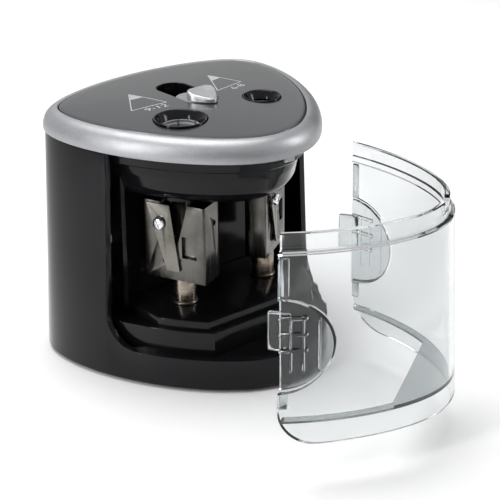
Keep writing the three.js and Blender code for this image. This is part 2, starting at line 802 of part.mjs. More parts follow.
// The half-round finger grip set into one arm, with ribs and the tongue that holds the cover shut.
function latch(side) {
  const inner = skinOffset(gripZ) - 4;
  const outer = inner + 1.6;
  const ribTop = outer + 1.1;
  const end = armEnd - gap;
  const low = gripZ - 2 * gripRadius;
  const high = gripZ + 2 * gripRadius;
  const strip = swept([[inner, low], [outer, low], [outer, high], [inner, high]], true);
  const ribs = swept([[outer - 0.4, low], [ribTop, low], [ribTop, high], [outer - 0.4, high]], true);
  const disc = rod(gripRadius, -beyond, beyond, 0, 0, 40).rotateY(Math.PI / 2);
  disc.translate(0, end, gripZ);
  const half = block(0, beyond, -beyond, end, 0, beyond);
  if (side < 0) half.translate(-beyond, 0, 0);
  const rows = [-6, 0, 6].map((z) => (
    block(-beyond, beyond, end - 9, end, -0.5, 0.5).translate(0, 0, tongueZ + z)
  ));
  const columns = [3.4, 7.4, 12.4].map((y) => (
    block(-beyond, beyond, end - 0.6, end, gripZ - 10, gripZ + 10).translate(0, -y, 0)
  ));
  const ribbing = overlap(ribs, join(...rows, ...columns), disc, half);
  const tongueX = planHalfWidth(armEnd, 1);
  const tip = armEnd + tongueReach;
  const foot = tongueZ - tongueHeight / 2;
  const tongue = block(tongueX, tongueX + 2.6, end - 3, tip, foot, foot + tongueHeight);
  if (side < 0) tongue.rotateZ(Math.PI).translate(0, tip + end - 3, 0);
  return join(overlap(strip, disc, half), ribbing, tongue);
}

const catchY = () => planPoint(0, 0).y - (coverRimOuter + skinOffset(coverLedge)) / 2 - 0.3;

function addCover() {
  const swing = new THREE.Group();
  swing.position.set(coverPull.x, catchY() + coverPull.y, 0);
  swing.rotation.z = coverTurn;
  const seat = new THREE.Group();
  seat.position.y = -catchY();
  swing.add(seat);
  parts.add(swing);
  add('shavings_cover', shavingsCover(), clear, seat);
  add('left_latch', latch(-1), clear, seat);
  add('right_latch', latch(1), clear, seat);
  add('cover_catch', rod(catchRadius, coverLedge + gap, coverLedge + 4, 0, catchY(), 20), clear, seat);
}

// ---------- assembly ----------

add('body_shell', bodyShell(), glossBlack);
add('top_rim', topRim(), silver);
add('top_plate', topPlate(), darkGrey);
add('large_bezel', bezel(-holeX, largeMouth), glossBlack);
add('small_bezel', bezel(holeX, smallMouth), glossBlack);
add('pencil_guide', pencilGuide(), guideGrey);
add('top_frame', topFrame(), glossBlack);
add('shutter', shutter(), silver);
add('selector_knob', knob(), silver);
add('gearbox_cover', gearboxCover(), satinBlack);
add('chamber_wall', chamberWall(), satinBlack);
cutters.forEach(addCutter);
add('reduction_gear', reductionGear(), gearWhite);
add('reduction_pin', reductionPin(), steel);
add('motor', motor(), steel);
add('motor_pinion', motorPinion(), brass);
add('base_plate', basePlate(), satinBlack);
add('battery_door', batteryDoor(), satinBlack);
baseScrews.forEach((spot, i) => add(`base_screw_${i + 1}`, baseScrew(spot), steel));
feet.forEach(([name, x, y]) => add(name, rod(footRadius, 0, footHeight, x, y, 28), rubber));
for (const [i, x] of [-2, -1, 1, 2].entries()) {
  const place = x * cellPitch + Math.sign(x) * (cellRadius + cellPairGap - cellPitch / 2);
  add(`battery_cell_${i + 1}`, cell(place), cellWrap);
}
for (const [name, side] of [['left', -1], ['right', 1]]) {
  add(`${name}_top_contact`, contactStrip(side, cellBottom + cellLength + 1.4), steel);
  add(`${name}_bottom_contact`, contactStrip(side, cellBottom - 0.8), steel);
}
add('interlock_switch', interlockSwitch(), satinBlack);
add('interlock_plunger', interlockPlunger(), guideGrey);
addCover();

// The footprint runs from the removed cover's front to the back of the shell.
const footprintFront = -(planReach(coverTurn) + skinOffset(sill + gap));
const coverShift = new THREE.Vector2(0, catchY()).rotateAround(new THREE.Vector2(), coverTurn);
const coverFront = footprintFront + coverPull.y + catchY() - coverShift.y;
const shellBack = planReach(Math.PI) + skinOffset(shellBottom);
parts.position.y = -(coverFront + shellBack) / 2;

const sharpener = new THREE.Group();
sharpener.add(parts);

export default sharpener;
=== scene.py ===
"""The looks of the battery pencil sharpener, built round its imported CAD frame.

Shapes are made in millimetres about the middle of the plan, the front towards -Y, as in the CAD.
seat() then scales them to metres, moves them into the row frame and names the body they ride.
"""

import math

import bmesh
import bpy
import numpy as np
from mathutils import Matrix, Vector


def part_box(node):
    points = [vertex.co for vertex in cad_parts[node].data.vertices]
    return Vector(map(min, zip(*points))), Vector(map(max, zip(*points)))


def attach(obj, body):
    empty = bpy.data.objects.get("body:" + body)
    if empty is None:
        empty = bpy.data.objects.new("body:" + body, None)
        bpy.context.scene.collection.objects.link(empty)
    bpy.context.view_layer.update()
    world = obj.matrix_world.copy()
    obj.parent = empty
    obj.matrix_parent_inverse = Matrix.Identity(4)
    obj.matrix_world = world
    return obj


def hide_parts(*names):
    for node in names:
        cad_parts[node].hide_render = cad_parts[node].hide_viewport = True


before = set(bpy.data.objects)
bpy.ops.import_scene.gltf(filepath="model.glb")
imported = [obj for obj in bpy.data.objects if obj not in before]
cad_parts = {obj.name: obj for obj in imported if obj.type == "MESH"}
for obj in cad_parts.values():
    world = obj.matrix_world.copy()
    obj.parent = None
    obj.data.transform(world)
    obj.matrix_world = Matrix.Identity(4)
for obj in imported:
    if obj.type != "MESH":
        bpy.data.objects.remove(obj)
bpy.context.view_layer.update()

# ---------- driving dimensions, in millimetres ----------

MM = 0.001
GAP = 0.3
PLAN_MEAN = 47
PLAN_TERMS = ((2, -0.75), (3, 5.15), (4, -0.43), (6, -0.33))
STEPS = 168

PLATE_EDGE = 100
PLATE_UNDER = 98
PLATE_INSET = 0.6
DOME_RISE = 1.4
HOLE_SHARE = 0.5
RIM_BOTTOM = 91.7
RIM_REACH = 6.3
RIM_SKIN = 1.9
TAB_HALF = 2.2
TAB_DROP = 1.7

SKIN_FOOT = 8.9
SKIN_TOP = 5.6
SHELL_BOTTOM = 1
WALL = 2.4
SILL = 13.3
ARM_END = -8
CORNER_RADIUS = 13.5

BAND_BOTTOM = 86.2
BAND_OFFSET = 0.5
STEP_OFFSET = -2.5
STEP_BOTTOM = 82.2
BOWL_BOTTOM = 70
BOWL_RIM = -3.8
FRAME_SKIN = 2

HOLE_X = 19.8
HOLE_Y = -16.9
LARGE_MOUTH = 9.6
SMALL_MOUTH = 6.8
LARGE_BORE = 6.6
SMALL_BORE = 4.5
BEZEL_LIP = 0.6
BEZEL_PROUD = 0.35
BEZEL_DEPTH = 3

SLOT_HALF = 6.7
SLOT_FRONT = -11
SLOT_BACK = 20.5
SHUTTER_BOTTOM = 93.6
KNOB_HEIGHT = 5
KNOB_LIFT = 0.4
KNOB_SLOPE = 0.16
KNOB_DISH = 0.012
RIDGE_HEIGHT = 0.06
RIDGE_PITCH = 1.25
LINING_SKIN = 0.4

DECK_TOP = 26
LEDGE_TOP = 22.5
LEDGE_OFFSET = 3.2
LEDGE_FRONT = -41.5
PLATEAU_FRONT = -38.5
PLATEAU_HALF = 37
TRAY_TOP = 12.8
TRAY_BOTTOM = 11.4
CHAMBER_BACK = 3
SPINDLE_RADIUS = 2.5
MOTOR_ROOM = 13
BLOCK_BOTTOM = 38
BLADE_SKIN = 0.8
BLADE_SCREW_Z = BLOCK_BOTTOM + 23
BUSH_RADIUS = 4.4

COVER_WALL = 1.9
# The cover has more steps than the CAD's, so this keeps it inside the CAD box.
FACET_SLACK = 0.02
COVER_RIM_TOP = 91.1
COVER_RIM_OUTER = 3.9
COVER_LEDGE = 85.2
COVER_FLOOR_TOP = 22.9
COVER_FLOOR_SKIN = 1.5
GRIP_RADIUS = 17
GRIP_Z = 50.5
TONGUE_Z = 54.5
TONGUE_HEIGHT = 14
TONGUE_REACH = 4.5
COVER_TURN = math.radians(32)
COVER_PULL = (16.5, -66.5)

# A length that reaches past the whole plan, for the shapes that only trim others.
BEYOND = 80

CAMERA_PLACE = (-388.84, -502.85, 313.93)
CAMERA_FORWARD = (0.5840, 0.7059, -0.4008)
CAMERA_ROLL = math.radians(-0.55)
SENSOR_WIDTH = 36
LENS_TO_SENSOR = 3.45552


# ---------- the plan outline ----------


def plan_points(angles, offset):
    """Points round the outline, grown by an offset, for angles from the front towards +X."""
    angles = np.asarray(angles, float)
    reach = PLAN_MEAN + offset + sum(size * np.cos(n * angles) for n, size in PLAN_TERMS)
    slope = -sum(n * size * np.sin(n * angles) for n, size in PLAN_TERMS)
    x = reach * np.sin(angles) + slope * np.cos(angles)
    y = -reach * np.cos(angles) + slope * np.sin(angles)
    return np.stack([x, y], axis=-1)


def angle_at(y, offset):
    """The angle at which the outline passes y on its way round the +X side."""
    low, high = 0.0, math.pi / 2
    for _ in range(40):
        middle = (low + high) / 2
        if plan_points(middle, offset)[1] < y:
            low = middle
        else:
            high = middle
    return low


def half_width(y, offset):
    return float(plan_points(angle_at(y, offset), offset)[0])


def skin_offset(z):
    return SKIN_FOOT + (SKIN_TOP - SKIN_FOOT) * z / RIM_BOTTOM


def plate_height(share):
    """The dome of the plate at a share of the way from the middle to the edge."""
    return PLATE_EDGE + DOME_RISE * (1 - share**2)


def dome_height(x, y):
    """The dome of the plate over a point of the plan."""
    angles = np.linspace(0, 2 * math.pi, 240, endpoint=False)
    reach = PLAN_MEAN - PLATE_INSET + sum(size * np.cos(n * angles) for n, size in PLAN_TERMS)
    share = float(np.max((x * np.sin(angles) - y * np.cos(angles)) / reach))
    return plate_height(share)


APEX = float(plan_points(0.0, 0)[1])
CATCH_Y = APEX - (COVER_RIM_OUTER + skin_offset(COVER_LEDGE)) / 2 - 0.3
SHIFT_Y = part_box("top_plate")[1].y / MM - float(plan_points(math.pi, -0.05)[1])
HOUSED = Matrix.Translation((0, SHIFT_Y * MM, 0)) @ Matrix.Scale(MM, 4)
REMOVED = (
    HOUSED
    @ Matrix.Translation((COVER_PULL[0], CATCH_Y + COVER_PULL[1], 0))
    @ Matrix.Rotation(COVER_TURN, 4, "Z")
    @ Matrix.Translation((0, -CATCH_Y, 0))
)


# ---------- mesh building ----------


def mesh_object(name, points, faces):
    mesh = bpy.data.meshes.new(name)
    mesh.from_pydata([tuple(map(float, point)) for point in points], [], faces)
    mesh.update()
    obj = bpy.data.objects.new(name, mesh)
    bpy.context.scene.collection.objects.link(obj)
    return obj


def fixed_normals(obj):
    """Makes every face look outwards."""
    work = bmesh.new()
    work.from_mesh(obj.data)
    bmesh.ops.recalc_face_normals(work, faces=work.faces)
    work.to_mesh(obj.data)
    work.free()
    return obj


def swept(name, profile, closed=True, steps=STEPS, peak=None):
    """Carries [offset, height] points round the plan: a ring if closed, else a capped body.

    A third value scales its ring towards the middle.
    """
    angles = np.linspace(0, 2 * math.pi, steps, endpoint=False)
    points = []
    for offset, height, *share in profile:
        for x, y in plan_points(angles, offset) * (share[0] if share else 1):
            points.append((x, y, height))
    rows = len(profile) if closed else len(profile) - 1
    faces = []
    for i in range(rows):
        low, high = i * steps, ((i + 1) % len(profile)) * steps
        for j in range(steps):
            k = (j + 1) % steps
            faces.append((low + j, low + k, high + k, high + j))
    if not closed:
        last = (len(profile) - 1) * steps
        points += [(0, 0, profile[0][1]), (0, 0, profile[-1][1] if peak is None else peak)]
        for j in range(steps):
            k = (j + 1) % steps
            faces.append((len(points) - 2, k, j))
            faces.append((len(points) - 1, last + j, last + k))
    return fixed_normals(mesh_object(name, points, faces))


def turned(name, profile, x=0.0, y=0.0, steps=64):
    """A body turned about the vertical through x, y from [radius, height] points."""
    points = []
    rows = []
    for radius, height in profile:
        if radius == 0:
            rows.append([len(points)] * steps)
            points.append((x, y, height))
            continue
        rows.append([len(points) + j for j in range(steps)])
        for j in range(steps):
            angle = 2 * math.pi * j / steps
            points.append((x + radius * math.cos(angle), y + radius * math.sin(angle), height))
    faces = []
    pairs = list(zip(rows, rows[1:]))
    if profile[0][0] and profile[-1][0]:
        pairs.append((rows[-1], rows[0]))
    for low, high in pairs:
        for j in range(steps):
            k = (j + 1) % steps
            corners = list(dict.fromkeys((low[j], low[k], high[k], high[j])))
            if len(corners) > 2:
                faces.append(tuple(corners))
    return fixed_normals(mesh_object(name, points, faces))


def rod(radius, z0, z1, x=0.0, y=0.0, steps=64, name="rod"):
    return turned(name, [(0, z0), (radius, z0), (radius, z1), (0, z1)], x, y, steps)


def prism(outline, z0, z1, name="prism"):
    """A straight body over a flat outline."""
    count = len(outline)
    points = [(x, y, z0) for x, y in outline] + [(x, y, z1) for x, y in outline]
    faces = [tuple(reversed(range(count))), tuple(range(count, 2 * count))]
    for j in range(count):
        k = (j + 1) % count
        faces.append((j, k, count + k, count + j))
    return fixed_normals(mesh_object(name, points, faces))


def block(x0, x1, y0, y1, z0, z1, name="block"):
    return prism([(x0, y0), (x1, y0), (x1, y1), (x0, y1)], z0, z1, name)


def arc(x, y, radius, start, end, count):
    """Points on an arc, angles in degrees."""
    angles = np.radians(np.linspace(start, end, count))
    return [(x + radius * math.cos(a), y + radius * math.sin(a)) for a in angles]


def rounded(corners, count=6):
    """An outline through [x, y, radius] corners, each rounded by a curve as long as its radius."""
    outline = []
    for i, (x, y, radius) in enumerate(corners):
        corner = Vector((x, y))
        before = Vector(corners[i - 1][:2]) - corner
        after = Vector(corners[(i + 1) % len(corners)][:2]) - corner
        entry = corner + before.normalized() * radius
        leave = corner + after.normalized() * radius
        for t in np.linspace(0, 1, count):
            point = entry * (1 - t) ** 2 + corner * 2 * t * (1 - t) + leave * t**2
            outline.append((point.x, point.y))
    return outline


def stadium(half, y0, y1):
    return arc(0, y0 + half, half, 180, 360, 24) + arc(0, y1 - half, half, 0, 180, 24)


def moved(obj, matrix):
    obj.data.transform(matrix)
    if matrix.determinant() < 0:
        obj.data.flip_normals()
    return obj


def applied(obj):
    """Bakes the modifiers of an object into its mesh."""
    bpy.context.view_layer.update()
    graph = bpy.context.evaluated_depsgraph_get()
    mesh = bpy.data.meshes.new_from_object(obj.evaluated_get(graph))
    obj.modifiers.clear()
    obj.data = mesh
    return obj


def combined(obj, operation, *tools):
    for tool in tools:
        change = obj.modifiers.new("combine", "BOOLEAN")
        change.operation = operation
        change.solver = "MANIFOLD"
        change.object = tool
        applied(obj)
        bpy.data.objects.remove(tool)
    return obj


def cut(obj, *tools):
    return combined(obj, "DIFFERENCE", *tools)


def join(obj, *tools):
    return combined(obj, "UNION", *tools)


def overlap(obj, *tools):
    return combined(obj, "INTERSECT", *tools)


def bevelled(obj, width=0.35, angle=50, segments=2):
    """Rounds the sharp edges a little, so that they catch the light."""
    work = bmesh.new()
    work.from_mesh(obj.data)
    bmesh.ops.remove_doubles(work, verts=work.verts, dist=0.01)
    bmesh.ops.dissolve_limit(
        work, angle_limit=math.radians(0.4), verts=work.verts, edges=work.edges
    )
    work.to_mesh(obj.data)
    work.free()
    change = obj.modifiers.new("bevel", "BEVEL")
    change.width = width
    change.segments = segments
    change.limit_method = "ANGLE"
    change.angle_limit = math.radians(angle)
    change.use_clamp_overlap = True
    return applied(obj)


def seat(obj, name, body, material, place=HOUSED, replaces=(), smooth=35):
    """Puts a finished shape in the row frame and says what it is."""
    obj.name = name
    obj.data.name = name
    obj.data.transform(place)
    obj.data.materials.clear()
    obj.data.materials.append(material)
    obj.data.shade_smooth()
    obj.data.set_sharp_from_angle(angle=math.radians(smooth))
    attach(obj, body)
    if replaces:
        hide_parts(*replaces)
    return obj


# ---------- materials ----------


def shader(name, base, roughness, **values):
    """A material and its node tree, with the constant values on the shader's own sockets."""
    material = bpy.data.materials.new(name)
    material.use_nodes = True
    tree = material.node_tree
    principled = tree.nodes["Principled BSDF"]
    principled.inputs["Base Color"].default_value = (*base, 1)
    principled.inputs["Roughness"].default_value = roughness
    for label, value in values.items():
        principled.inputs[label.replace("_", " ")].default_value = value
    return material, tree, principled


def noise(tree, scale, detail=3.0, stretch=(1, 1, 1)):
    """Noise in object space, scale in bumps per metre."""
    place = tree.nodes.new("ShaderNodeTexCoord")
    mapping = tree.nodes.new("ShaderNodeMapping")
    mapping.inputs["Scale"].default_value = stretch
    texture = tree.nodes.new("ShaderNodeTexNoise")
    texture.inputs["Scale"].default_value = scale
    texture.inputs["Detail"].default_value = detail
    tree.links.new(place.outputs["Object"], mapping.inputs["Vector"])
    tree.links.new(mapping.outputs["Vector"], texture.inputs["Vector"])
    return texture.outputs["Fac"]


def ranged(tree, value, low, high, start=0.3, end=0.7):
    spread = tree.nodes.new("ShaderNodeMapRange")
    spread.inputs["From Min"].default_value = start
    spread.inputs["From Max"].default_value = end
    spread.inputs["To Min"].default_value = low
    spread.inputs["To Max"].default_value = high
    tree.links.new(value, spread.inputs["Value"])
    return spread.outputs["Result"]


def blend_colors(tree, value, first, second, start=0.35, end=0.65):
    ramp = tree.nodes.new("ShaderNodeValToRGB")
    ramp.color_ramp.elements[0].position = start
    ramp.color_ramp.elements[0].color = (*first, 1)
    ramp.color_ramp.elements[1].position = end
    ramp.color_ramp.elements[1].color = (*second, 1)
    tree.links.new(value, ramp.inputs["Fac"])
    return ramp.outputs["Color"]


def bumped(tree, principled, height, strength, distance):
    bump = tree.nodes.new("ShaderNodeBump")
    bump.inputs["Strength"].default_value = strength
    bump.inputs["Distance"].default_value = distance
    tree.links.new(height, bump.inputs["Height"])
    tree.links.new(bump.outputs["Normal"], principled.inputs["Normal"])


def moulded(name, dark, light, smooth, dull, bump=0.04, **values):
    """Moulded plastic: faint colour drift, handling haze and a slight orange peel."""
    material, tree, principled = shader(name, dark, smooth, **values)
    drift = noise(tree, 45, 4)
    haze = noise(tree, 160, 6)
    tree.links.new(blend_colors(tree, drift, dark, light), principled.inputs["Base Color"])
    tree.links.new(ranged(tree, haze, smooth, dull), principled.inputs["Roughness"])
    bumped(tree, principled, noise(tree, 900, 2), bump, 0.0002)
    return material


def flaked(name, dark, light, metallic, smooth, dull, **values):
    """Metallic paint: fine bright flakes under an even satin lacquer."""
    material, tree, principled = shader(name, dark, smooth, Metallic=metallic, **values)
    flakes = noise(tree, 5200, 2)
    tree.links.new(
        blend_colors(tree, flakes, dark, light, 0.38, 0.62), principled.inputs["Base Color"]
    )
    tree.links.new(ranged(tree, noise(tree, 120, 5), smooth, dull), principled.inputs["Roughness"])
    bumped(tree, principled, flakes, 0.05, 0.0001)
    return material


def brushed(name, dark, light, smooth, dull, stretch, bump=0.08, **values):
    """Worked metal: fine lines along one direction, with stains and polish between them."""
    material, tree, principled = shader(name, dark, smooth, Metallic=1.0, **values)
    lines = noise(tree, 700, 4, stretch)
    stains = noise(tree, 90, 5)
    tree.links.new(blend_colors(tree, stains, dark, light), principled.inputs["Base Color"])
    tree.links.new(ranged(tree, lines, smooth, dull), principled.inputs["Roughness"])
    bumped(tree, principled, lines, bump, 0.0001)
    return material


def clear_styrene(name, tint, smooth, dull, bump):
    """Clear moulded styrene with a little flow waviness and fine scuffs."""
    material, tree, principled = shader(name, tint, smooth)
    principled.inputs["Transmission Weight"].default_value = 1.0
    principled.inputs["IOR"].default_value = 1.45
    flow = noise(tree, 35, 2, (1, 1, 0.4))
    tree.links.new(
        ranged(tree, noise(tree, 300, 6), smooth, dull, 0.45, 0.8), principled.inputs["Roughness"]
    )
    tree.links.new(
        blend_colors(tree, flow, tint, tuple(min(1, c + 0.02) for c in tint)),
        principled.inputs["Base Color"],
    )
    bumped(tree, principled, flow, bump, 0.001)
    return material


GLOSS_BLACK = moulded(
    "gloss_black", (0.0035, 0.0035, 0.0045), (0.006, 0.006, 0.0075), 0.07, 0.14, 0.03,
    Specular_IOR_Level=0.22,
)
DECK_BLACK = moulded(
    "satin_black", (0.003, 0.003, 0.0035), (0.0055, 0.0055, 0.0065), 0.10, 0.2, 0.04,
    Specular_IOR_Level=0.25,
)
PLATE_GREY = flaked(
    "plate_grey", (0.040, 0.042, 0.045), (0.075, 0.078, 0.082), 0.35, 0.20, 0.27,
    Coat_Weight=0.5, Coat_Roughness=0.12,
)
SILVER = flaked("silver_paint", (0.29, 0.295, 0.31), (0.42, 0.425, 0.44), 0.7, 0.38, 0.48)
KNOB_SILVER = flaked("knob_silver", (0.42, 0.425, 0.44), (0.58, 0.585, 0.60), 0.75, 0.28, 0.38)
GUIDE_GREY = moulded("guide_grey", (0.24, 0.25, 0.26), (0.32, 0.33, 0.34), 0.35, 0.5, 0.1)
CLEAR = clear_styrene("clear_styrene", (0.84, 0.86, 0.865), 0.02, 0.07, 0.05)
# clear_edge_painted_shade is a darker copy of the same clear styrene: painted shade for the dark edges
# of the thick uprights, the grips and the catch.
SHADED_CLEAR_EDGE = clear_styrene("clear_edge_painted_shade", (0.62, 0.65, 0.66), 0.06, 0.16, 0.12)
# clear_floor is a still darker copy of the same clear styrene: painted shade for the greyish floor of
# the cover.
SHADED_CLEAR_FLOOR = clear_styrene("clear_floor", (0.50, 0.53, 0.54), 0.10, 0.22, 0.10)
DARK_STEEL = brushed(
    "cutter_steel", (0.075, 0.072, 0.066), (0.13, 0.125, 0.115), 0.12, 0.28, (1, 1, 0.06)
)
BLADE_STEEL = brushed(
    "blade_steel", (0.13, 0.123, 0.108), (0.22, 0.21, 0.19), 0.14, 0.3, (0.2, 0.2, 1)
)
SCREW_STEEL = brushed("bright_steel", (0.7, 0.71, 0.73), (0.85, 0.86, 0.88), 0.12, 0.28, (1, 1, 1))
BUSH_STEEL = brushed(
    "bush_steel", (0.20, 0.165, 0.13), (0.34, 0.29, 0.24), 0.18, 0.34, (0.05, 0.05, 1)
)
GEAR_NYLON = moulded("gear_nylon", (0.62, 0.60, 0.53), (0.74, 0.72, 0.65), 0.35, 0.55, 0.12)
BRASS = brushed("pinion_brass", (0.5, 0.36, 0.14), (0.66, 0.5, 0.24), 0.2, 0.4, (0.1, 0.1, 1))
RUBBER = moulded("foot_rubber", (0.012, 0.012, 0.012), (0.022, 0.022, 0.021), 0.7, 0.9, 0.4)
CELL_WRAP = moulded("cell_wrap", (0.02, 0.13, 0.07), (0.03, 0.18, 0.10), 0.18, 0.3, 0.05)
PRINT = moulded("pale_print", (0.34, 0.35, 0.36), (0.44, 0.45, 0.46), 0.35, 0.5, 0.1)


# ---------- shell, rim and plate ----------


def front_opening(shrink):
    """The space the cover fills, with a rounded lower corner."""
    end = ARM_END - shrink
    floor = SILL + shrink
    corner = arc(end - CORNER_RADIUS, floor + CORNER_RADIUS, CORNER_RADIUS, -90, 0, 17)
    outline = [(-120, floor)] + corner + [(end, 200), (-120, 200)]
    side = prism(outline, -120, 120)
    return moved(side, Matrix(((0, 0, 1, 0), (1, 0, 0, 0), (0, 1, 0, 0), (0, 0, 0, 1))))


def add_shell():
    inner = [skin_offset(z) - WALL for z in (SHELL_BOTTOM, RIM_BOTTOM)]
    top = RIM_BOTTOM - GAP
    foot = skin_offset(SHELL_BOTTOM)
    profile = [(inner[0], SHELL_BOTTOM), (foot - 0.7, SHELL_BOTTOM), (foot - 0.2, SHELL_BOTTOM + 0.2)]
    profile += [(foot, SHELL_BOTTOM + 0.8)]
    profile += [(skin_offset(z), z) for z in (12, 30, 50, 70)]
    profile += [(skin_offset(top), top), (inner[1], top)]
    shell = cut(swept("shell", profile), front_opening(0))
    shell = bevelled(shell, 0.45, 55, 3)
    seat(shell, "shell_skin", "housing", GLOSS_BLACK, replaces=["body_shell"])


def add_rim():
    springing = RIM_BOTTOM + 1.2
    lip = 0.6
    profile = [(RIM_REACH - RIM_SKIN, RIM_BOTTOM), (RIM_REACH - 0.5, RIM_BOTTOM)]
    profile += [(RIM_REACH - 0.12, RIM_BOTTOM + 0.25)]
    for angle in np.linspace(0, math.pi / 2, 15):
        rise = (PLATE_EDGE - springing) * math.sin(angle)
        profile.append((lip + (RIM_REACH - lip) * math.cos(angle), springing + rise))
    profile += [(GAP, PLATE_EDGE - GAP), (GAP, PLATE_UNDER + GAP), (RIM_REACH - 3.4, PLATE_UNDER - 0.8)]
    profile += [(RIM_REACH - RIM_SKIN, springing + 2.6)]
    front = APEX - RIM_REACH + 0.4
    tab = block(-TAB_HALF, TAB_HALF, front, front + 1.3, RIM_BOTTOM - TAB_DROP, RIM_BOTTOM + 0.4)
    rim = join(swept("rim", profile), bevelled(tab, 0.3))
    seat(rim, "rim_bulge", "housing", SILVER, replaces=["top_rim"], smooth=40)


def add_plate():
    profile = [(-0.05, PLATE_UNDER), (-0.05, PLATE_EDGE - 0.45), (-0.2, PLATE_EDGE - 0.15)]
    profile += [(-PLATE_INSET, plate_height(share), share) for share in np.linspace(1, 0.05, 24)]
    plate = swept("plate", profile, closed=False, peak=plate_height(0))
    plate = cut(
        plate,
        rod(LARGE_MOUTH + BEZEL_LIP + GAP, 90, 110, -HOLE_X, HOLE_Y, 96),
        rod(SMALL_MOUTH + BEZEL_LIP + GAP, 90, 110, HOLE_X, HOLE_Y, 96),
        prism(stadium(SLOT_HALF, SLOT_FRONT, SLOT_BACK), 90, 110),
    )
    seat(plate, "plate_dome", "housing", PLATE_GREY, replaces=["top_plate"])


def add_bezel(name, x, mouth, node):
    top = plate_height(HOLE_SHARE) + BEZEL_PROUD
    outer = mouth + BEZEL_LIP
    throat = mouth - 2.2
    bottom = top - BEZEL_DEPTH
    profile = [(throat, bottom), (outer, bottom), (outer, top - 0.4)]
    profile += arc(outer - 0.35, top - 0.35, 0.35, 0, 90, 5)
    profile += [(mouth, top - 0.1), (mouth - 0.3, top - 0.35), (mouth - 0.7, top - 0.9)]
    profile += [(mouth - 1.2, top - 1.4), (throat + 0.7, top - 1.9), (throat + 0.25, top - 2.5)]
    ring = turned(name, profile, x, HOLE_Y, 96)
    seat(ring, name, "housing", GLOSS_BLACK, replaces=[node], smooth=50)


def add_guide():
    top = plate_height(HOLE_SHARE) + BEZEL_PROUD - BEZEL_DEPTH - GAP
    profile = [(LARGE_BORE, top - 2.6), (LARGE_BORE + 1.4, top - 2.6), (LARGE_MOUTH - 1.4, top - 1.4)]
    profile += [(LARGE_MOUTH - 1.4, top), (LARGE_MOUTH - 2.8, top), (LARGE_BORE + 0.5, top - 0.9)]
    profile += [(LARGE_BORE, top - 1.4)]
    guide = turned("guide", profile, -HOLE_X, HOLE_Y, 96)
    for i in range(6):
        slit = block(0, LARGE_BORE + 0.9, -0.4, 0.4, top - 3, top + 1)
        turn = Matrix.Rotation(i * math.pi / 3, 4, "Z")
        guide = cut(guide, moved(slit, Matrix.Translation((-HOLE_X, HOLE_Y, 0)) @ turn))
    seat(guide, "slit_guide", "housing", GUIDE_GREY, replaces=["pencil_guide"])


def add_frame():
    """The black band and step under the rim, and the bowl that hangs over the cutters."""
    rows = ((0.6, 0), (0.7, 0.03), (0.78, 0.2), (0.83, 0.65), (0.87, 1.3), (0.905, 2.3), (0.94, 3.5))
    rows += ((0.97, 5.1), (1, 7))
    outer = [(BOWL_RIM, BOWL_BOTTOM + rise, share) for share, rise in rows]
    outer += [(STEP_OFFSET - 0.5, STEP_BOTTOM - 0.9), (STEP_OFFSET, STEP_BOTTOM)]
    outer += [(STEP_OFFSET, BAND_BOTTOM), (BAND_OFFSET - 0.4, BAND_BOTTOM)]
    outer += [(BAND_OFFSET, BAND_BOTTOM + 0.4), (BAND_OFFSET, RIM_BOTTOM)]
    outer += [(RIM_REACH - RIM_SKIN - GAP, RIM_BOTTOM), (RIM_REACH - RIM_SKIN - GAP, RIM_BOTTOM + 2)]
    outer += [(BAND_OFFSET, RIM_BOTTOM + 2), (BAND_OFFSET, PLATE_UNDER - 1)]
    outer += [(-PLATE_INSET, PLATE_UNDER - GAP)]
    hollow = [(BOWL_RIM - FRAME_SKIN, BOWL_BOTTOM + FRAME_SKIN + rise, share) for share, rise in rows]
    hollow += [(STEP_OFFSET - FRAME_SKIN, STEP_BOTTOM + 1), (STEP_OFFSET - FRAME_SKIN, PLATE_UNDER + 1)]
    bowl = cut(swept("bowl", outer, closed=False), swept("hollow", hollow, closed=False))
    top = SHUTTER_BOTTOM - GAP
    for x, bore in ((-HOLE_X, LARGE_BORE), (HOLE_X, SMALL_BORE)):
        bowl = join(bowl, rod(bore + 2.2, BOWL_BOTTOM + 1, top, x, HOLE_Y))
        bowl = cut(bowl, rod(bore, BOWL_BOTTOM - 5, top + 5, x, HOLE_Y))
    seat(bowl, "band_and_bowl", "housing", GLOSS_BLACK, replaces=["top_frame"], smooth=30)


# ---------- selector and print ----------


def knob_height(x, y):
    """The dished, forward-sloping top of the knob, with fine ridges across it."""
    slope = KNOB_HEIGHT - 1.85 + KNOB_SLOPE * (y + 2)
    dish = KNOB_DISH * ((y + 8) ** 2 + 0.6 * x**2)
    ridge = RIDGE_HEIGHT * math.sin(2 * math.pi * math.hypot(x, y + 22) / RIDGE_PITCH)
    return slope + dish + ridge


def add_knob():
    """The selector knob: rings round its outline, up the side and in over the dished top."""
    base = plate_height(0) + KNOB_LIFT
    outline = rounded([(-8.6, -1.6, 7), (0, -15.6, 6.5), (8.6, -1.6, 7)], 18)
    middle = Vector((0, -6.5))
    points = []
    # Each ring is a scale of the outline, a share of the height and a drop below that.
    rings = [(1, 0, 0), (1, 0.7, 0), (0.985, 1, 0.5), (0.955, 1, 0.2), (0.93, 1, 0.08)]
    rings += [(scale, 1, 0) for scale in np.linspace(0.89, 0.06, 30)]
    for scale, height, drop in rings:
        for x, y in outline:
            px = middle.x + (x - middle.x) * scale
            py = middle.y + (y - middle.y) * scale
            points.append((px, py, base + height * (knob_height(px, py) - drop)))
    count = len(outline)
    rows = len(points) // count
    faces = [tuple(reversed(range(count)))]
    for i in range(rows - 1):
        for j in range(count):
            k = (j + 1) % count
            faces.append((i * count + j, i * count + k, (i + 1) * count + k, (i + 1) * count + j))
    faces.append(tuple(range((rows - 1) * count, rows * count)))
    knob = fixed_normals(mesh_object("knob", points, faces))
    seat(
        knob, "ridged_knob", "selector", KNOB_SILVER,
        replaces=["selector_knob"], smooth=45,
    )


